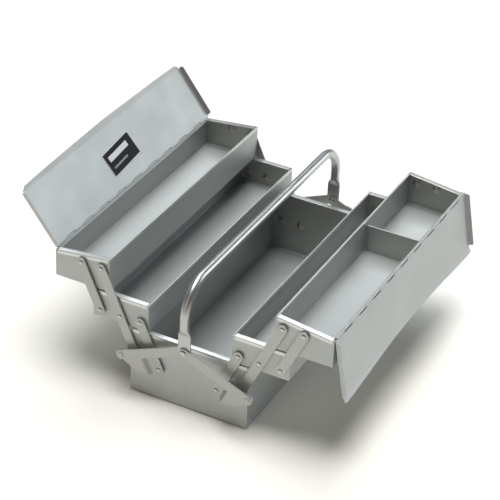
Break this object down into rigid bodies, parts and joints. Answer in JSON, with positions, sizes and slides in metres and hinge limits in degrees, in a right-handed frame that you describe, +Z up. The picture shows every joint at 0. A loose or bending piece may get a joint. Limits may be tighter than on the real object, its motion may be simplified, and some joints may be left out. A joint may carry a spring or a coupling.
{
  "type": "cantilever toolbox",
  "caption": "Metal cantilever toolbox opened out: deep base box, swing-out side trays on strap links, hinged lids and a tubular carrying handle.",
  "frame": {"origin": "centre of the base box's underside", "axes": "+X is the way the trays spread, -Y the front end with the outermost right toggle, +Z up"},
  "size_m": [0.5088, 0.4814, 0.276],
  "materials": {
    "silver_paint": "fine metallic silver-grey paint on folded sheet steel, satin",
    "silver_hardware": "the same silver-grey on the strap links, rivets, pins and handle tube, slightly glossier",
    "label": "dark printed label with a pale border"
  },
  "bodies": {
    "base": {"base_tub": "silver_paint", "rivet_crank_base_front_left": "silver_hardware", "rivet_crank_base_rear_left": "silver_hardware", "rivet_arm_base_front_left": "silver_hardware", "rivet_arm_base_rear_left": "silver_hardware", "rivet_crank_base_front_right": "silver_hardware", "rivet_crank_base_rear_right": "silver_hardware", "rivet_arm_base_front_right": "silver_hardware", "rivet_arm_base_rear_right": "silver_hardware"},
    "left_long_arms": {"long_arm_front_left": "silver_hardware", "long_arm_rear_left": "silver_hardware"},
    "left_bell_cranks": {"bell_crank_front_left": "silver_hardware", "bell_crank_rear_left": "silver_hardware"},
    "left_middle_tray": {"left_middle_tub": "silver_paint", "rivet_crank_top_front_left": "silver_hardware", "rivet_crank_top_rear_left": "silver_hardware", "rivet_arm_mid_front_left": "silver_hardware", "rivet_arm_mid_rear_left": "silver_hardware", "rivet_link_low_front_left": "silver_hardware", "rivet_link_low_rear_left": "silver_hardware"},
    "left_upper_links": {"upper_link_front_left": "silver_hardware", "upper_link_rear_left": "silver_hardware"},
    "left_top_tray": {"left_top_tub": "silver_paint", "left_hinge_pin": "silver_hardware", "rivet_arm_top_front_left": "silver_hardware", "rivet_arm_top_rear_left": "silver_hardware", "rivet_link_top_front_left": "silver_hardware", "rivet_link_top_rear_left": "silver_hardware"},
    "left_lid": {"left_lid_panel": "silver_paint", "label_plate": "label"},
    "left_toggles": {"toggle_front_left": "silver_hardware", "toggle_rear_left": "silver_hardware"},
    "right_long_arms": {"long_arm_front_right": "silver_hardware", "long_arm_rear_right": "silver_hardware"},
    "right_bell_cranks": {"bell_crank_front_right": "silver_hardware", "bell_crank_rear_right": "silver_hardware"},
    "right_middle_tray": {"right_middle_tub": "silver_paint", "rivet_crank_top_front_right": "silver_hardware", "rivet_crank_top_rear_right": "silver_hardware", "rivet_arm_mid_front_right": "silver_hardware", "rivet_arm_mid_rear_right": "silver_hardware", "rivet_link_low_front_right": "silver_hardware", "rivet_link_low_rear_right": "silver_hardware"},
    "right_upper_links": {"upper_link_front_right": "silver_hardware", "upper_link_rear_right": "silver_hardware"},
    "right_top_tray": {"right_top_tub": "silver_paint", "right_hinge_pin": "silver_hardware", "rivet_arm_top_front_right": "silver_hardware", "rivet_arm_top_rear_right": "silver_hardware", "rivet_link_top_front_right": "silver_hardware", "rivet_link_top_rear_right": "silver_hardware", "divider_plate": "silver_paint"},
    "right_lid": {"right_lid_panel": "silver_paint"},
    "right_toggles": {"toggle_front_right": "silver_hardware", "toggle_rear_right": "silver_hardware"},
    "handle_pins": {"handle_rivet_front": "silver_hardware", "handle_rivet_rear": "silver_hardware"},
    "handle": {"handle_bar": "silver_hardware"}
  },
  "joints": [
    {"name": "left_fold", "type": "hinge", "parent": "base", "child": "left_long_arms", "pos_m": [-0.077, 0, 0.0518], "axis": [0, 1, 0], "range_deg": [0, 49.3]},
    {"name": "left_crank_turn", "type": "hinge", "parent": "base", "child": "left_bell_cranks", "pos_m": [-0.0452, 0, 0.0518], "axis": [0, 1, 0], "range_deg": [0, 49.3]},
    {"name": "left_middle_tray_pivot", "type": "hinge", "parent": "left_long_arms", "child": "left_middle_tray", "pos_m": [-0.108, 0, 0.1194], "axis": [0, 1, 0], "range_deg": [-49.3, 0]},
    {"name": "left_upper_link_turn", "type": "hinge", "parent": "left_middle_tray", "child": "left_upper_links", "pos_m": [-0.1398, 0, 0.1194], "axis": [0, 1, 0], "range_deg": [0, 49.3]},
    {"name": "left_top_tray_pivot", "type": "hinge", "parent": "left_long_arms", "child": "left_top_tray", "pos_m": [-0.139, 0, 0.187], "axis": [0, 1, 0], "range_deg": [-49.3, 0]},
    {"name": "right_fold", "type": "hinge", "parent": "base", "child": "right_long_arms", "pos_m": [0.077, 0, 0.0518], "axis": [0, 1, 0], "range_deg": [-49.3, 0]},
    {"name": "right_crank_turn", "type": "hinge", "parent": "base", "child": "right_bell_cranks", "pos_m": [0.0452, 0, 0.0518], "axis": [0, 1, 0], "range_deg": [-49.3, 0]},
    {"name": "right_middle_tray_pivot", "type": "hinge", "parent": "right_long_arms", "child": "right_middle_tray", "pos_m": [0.108, 0, 0.1194], "axis": [0, 1, 0], "range_deg": [0, 49.3]},
    {"name": "right_upper_link_turn", "type": "hinge", "parent": "right_middle_tray", "child": "right_upper_links", "pos_m": [0.1398, 0, 0.1194], "axis": [0, 1, 0], "range_deg": [-49.3, 0]},
    {"name": "right_top_tray_pivot", "type": "hinge", "parent": "right_long_arms", "child": "right_top_tray", "pos_m": [0.139, 0, 0.187], "axis": [0, 1, 0], "range_deg": [0, 49.3]},
    {"name": "left_lid_hinge", "type": "hinge", "parent": "left_top_tray", "child": "left_lid", "pos_m": [-0.2134, 0, 0.1952], "axis": [0, 1, 0], "range_deg": [-128, 121]},
    {"name": "right_lid_hinge", "type": "hinge", "parent": "right_top_tray", "child": "right_lid", "pos_m": [0.2134, 0, 0.1952], "axis": [0, 1, 0], "range_deg": [-250.5, 0]},
    {"name": "handle_lift", "type": "slide", "parent": "base", "child": "handle_pins", "axis": [0, 0, 1], "range_m": [0, 0.0773]},
    {"name": "handle_tilt", "type": "hinge", "parent": "handle_pins", "child": "handle", "pos_m": [0, 0, 0.106], "axis": [0, 1, 0], "range_deg": [-52, 52]},
    {"name": "left_toggle_turn", "type": "hinge", "parent": "handle_pins", "child": "left_toggles", "pos_m": [0, 0, 0.106], "axis": [0, 1, 0], "range_deg": [-26.47, 0]},
    {"name": "right_toggle_turn", "type": "hinge", "parent": "handle_pins", "child": "right_toggles", "pos_m": [0, 0, 0.106], "axis": [0, 1, 0], "range_deg": [0, 26.47]}
  ],
  "couplings": [
    {"joint": "left_crank_turn", "follows": "left_fold", "ratio": 1},
    {"joint": "left_middle_tray_pivot", "follows": "left_fold", "ratio": -1},
    {"joint": "left_upper_link_turn", "follows": "left_fold", "ratio": 1},
    {"joint": "left_top_tray_pivot", "follows": "left_fold", "ratio": -1},
    {"joint": "right_fold", "follows": "left_fold", "ratio": -1},
    {"joint": "right_crank_turn", "follows": "left_fold", "ratio": -1},
    {"joint": "right_middle_tray_pivot", "follows": "left_fold", "ratio": 1},
    {"joint": "right_upper_link_turn", "follows": "left_fold", "ratio": -1},
    {"joint": "right_top_tray_pivot", "follows": "left_fold", "ratio": 1},
    {"joint": "handle_lift", "follows": "left_fold", "m_per_rad": 0.089803},
    {"joint": "left_toggle_turn", "follows": "left_fold", "ratio": -0.5362},
    {"joint": "right_toggle_turn", "follows": "left_fold", "ratio": 0.5362}
  ]
}
